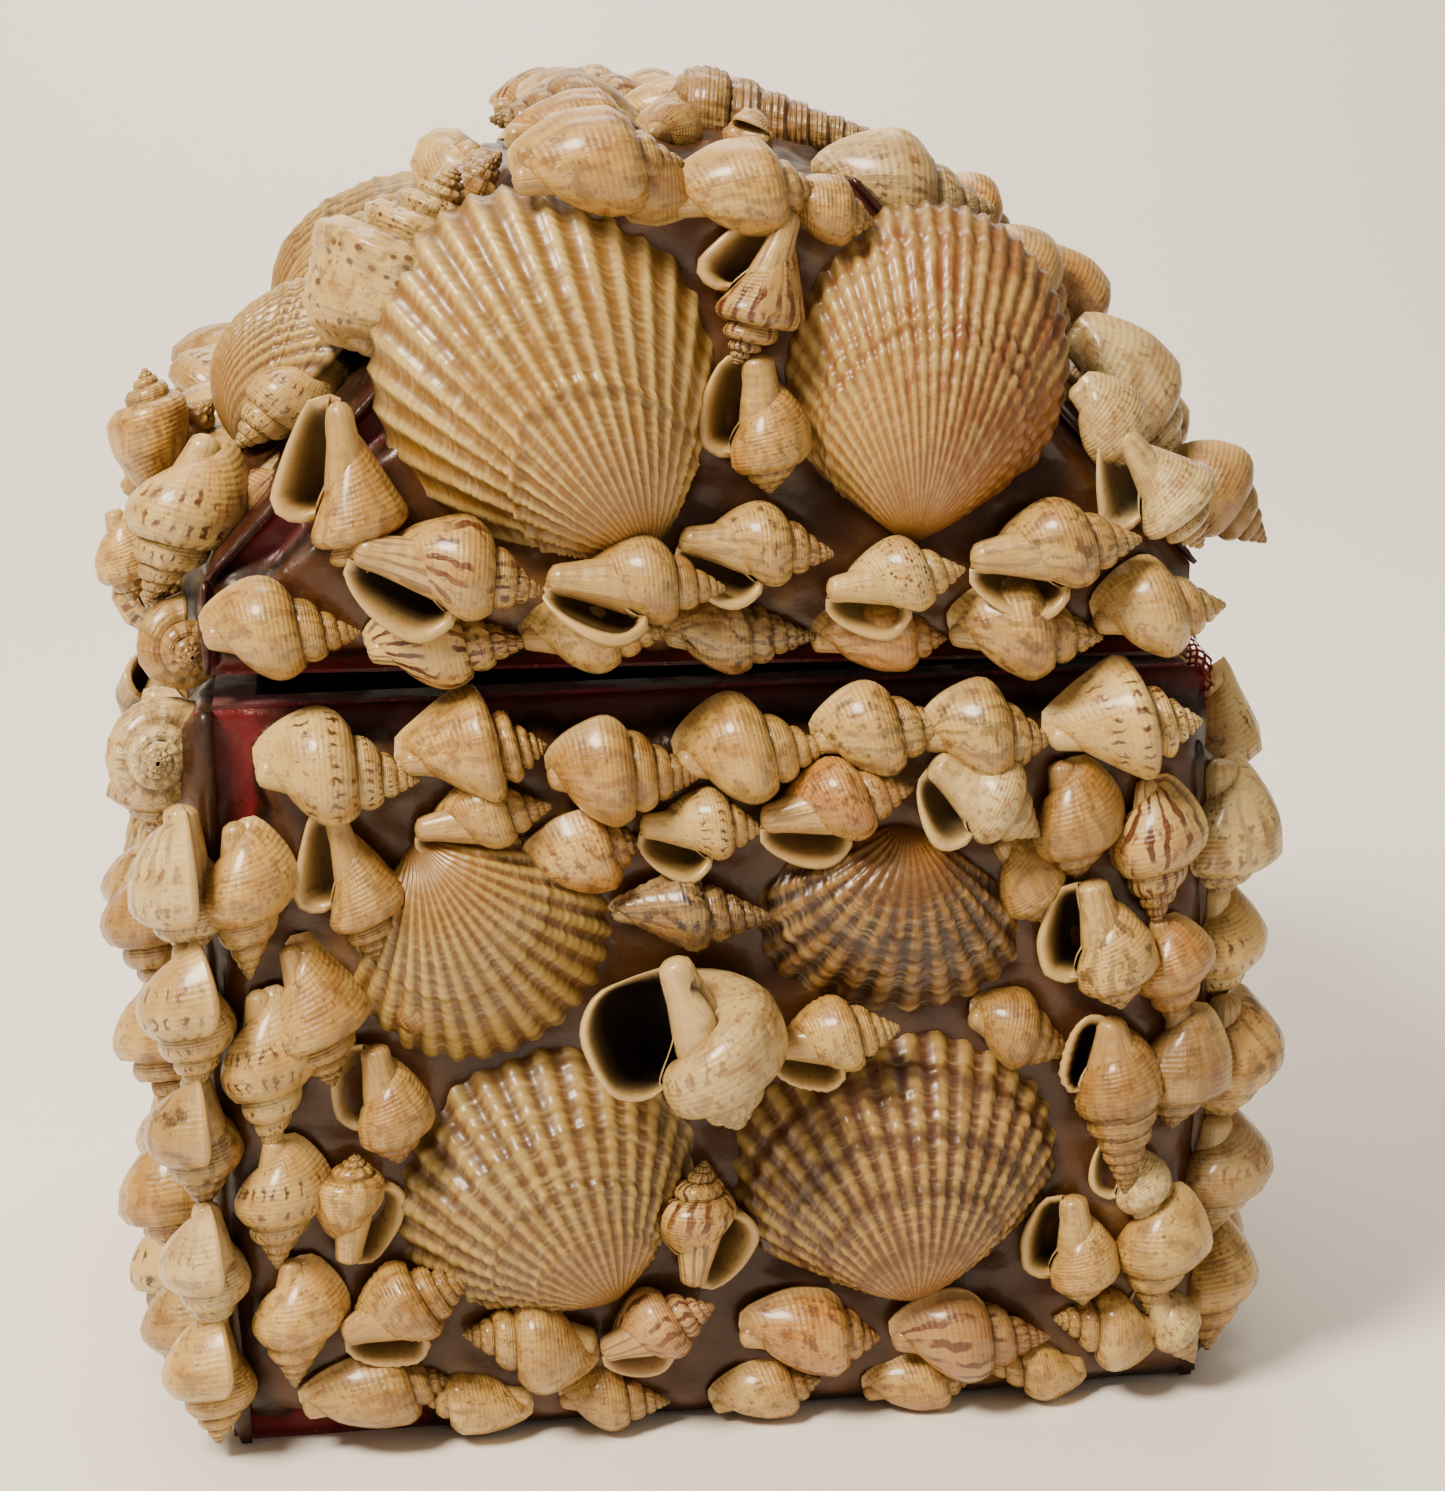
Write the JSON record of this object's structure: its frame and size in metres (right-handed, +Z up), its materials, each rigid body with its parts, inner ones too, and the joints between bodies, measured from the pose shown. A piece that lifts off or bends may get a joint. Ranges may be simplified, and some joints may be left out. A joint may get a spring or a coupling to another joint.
{
  "type": "shell-covered trinket box",
  "caption": "Small hinged trinket box shaped like a chest, its cloth-covered board carcass encrusted with varnished sea shells set in clear glue.",
  "frame": {"origin": "middle of the flat underside, on the surface that the box stands on", "axes": "+Z up, -Y out of the pictured end, +X towards the hinge side"},
  "size_m": [0.1148, 0.1168, 0.1312],
  "materials": {
    "red_cloth": "worn red bookcloth glued over board",
    "red_gauze": "open-weave red gauze",
    "glue_bed": "yellowed clear glue, glossy, with dust in it",
    "cream_shell": "varnished natural shell, cream with brown marks",
    "tan_shell": "varnished natural shell, tan",
    "brown_shell": "varnished natural shell, brown speckles"
  },
  "bodies": {
    "box": {"beaded_mouth_shell": "cream_shell", "body_back_bed": "glue_bed", "body_front_bed": "glue_bed", "body_left_bed": "glue_bed", "body_right_bed": "glue_bed", "box_body": "red_cloth", "cerith": "cream_shell", "dark_spindle": "brown_shell", "fan_brown_lattice": "tan_shell", "fan_cream": "cream_shell", "fan_stepped": "cream_shell", "fan_tan": "tan_shell", "hinge_cloth_lower": "red_gauze", "left_corner_shell": "cream_shell", "left_low_shell": "cream_shell", "left_upper_shell": "cream_shell", "middle_low_shell": "cream_shell", "moon_shell": "cream_shell", "pink_low_shell": "cream_shell", "second_row_shell_1": "cream_shell", "second_row_shell_2": "tan_shell", "second_row_shell_3": "cream_shell", "second_row_shell_4": "tan_shell", "second_row_shell_5": "cream_shell", "second_row_shell_6": "cream_shell", "top_row_shell_1": "cream_shell", "top_row_shell_2": "cream_shell", "top_row_shell_3": "cream_shell", "top_row_shell_4": "cream_shell", "top_row_shell_5": "cream_shell", "top_row_shell_6": "cream_shell", "top_row_shell_7": "cream_shell"},
    "lid": {"hinge_cloth_upper": "red_gauze", "lid": "red_cloth", "lid_back_bed": "glue_bed", "lid_corner_shell": "cream_shell", "lid_crest_shell": "cream_shell", "lid_dotted_shell": "cream_shell", "lid_edge_shell": "cream_shell", "lid_fan_left": "cream_shell", "lid_fan_right": "tan_shell", "lid_flared_shell": "cream_shell", "lid_front_bed": "glue_bed", "lid_left_bed": "glue_bed", "lid_pale_shell": "cream_shell", "lid_pierced_shell": "cream_shell", "lid_right_bed": "glue_bed", "lid_rim_shell_1": "cream_shell", "lid_rim_shell_2": "cream_shell", "lid_rim_shell_3": "brown_shell", "lid_rim_shell_4": "cream_shell", "lid_shoulder_shell": "cream_shell", "lid_smooth_shell": "cream_shell", "lid_speckled_shell": "cream_shell", "lid_spotted_shell": "cream_shell", "lid_toothed_shell": "cream_shell", "lid_top_bed": "glue_bed", "lid_upper_shell": "cream_shell", "turban_shell": "cream_shell", "turret_shell": "tan_shell"}
  },
  "joints": [
    {"name": "lid_hinge", "type": "hinge", "parent": "box", "child": "lid", "pos_m": [0.0477, 0, 0.0749], "axis": [0, 1, 0], "range_deg": [0, 90]}
  ]
}
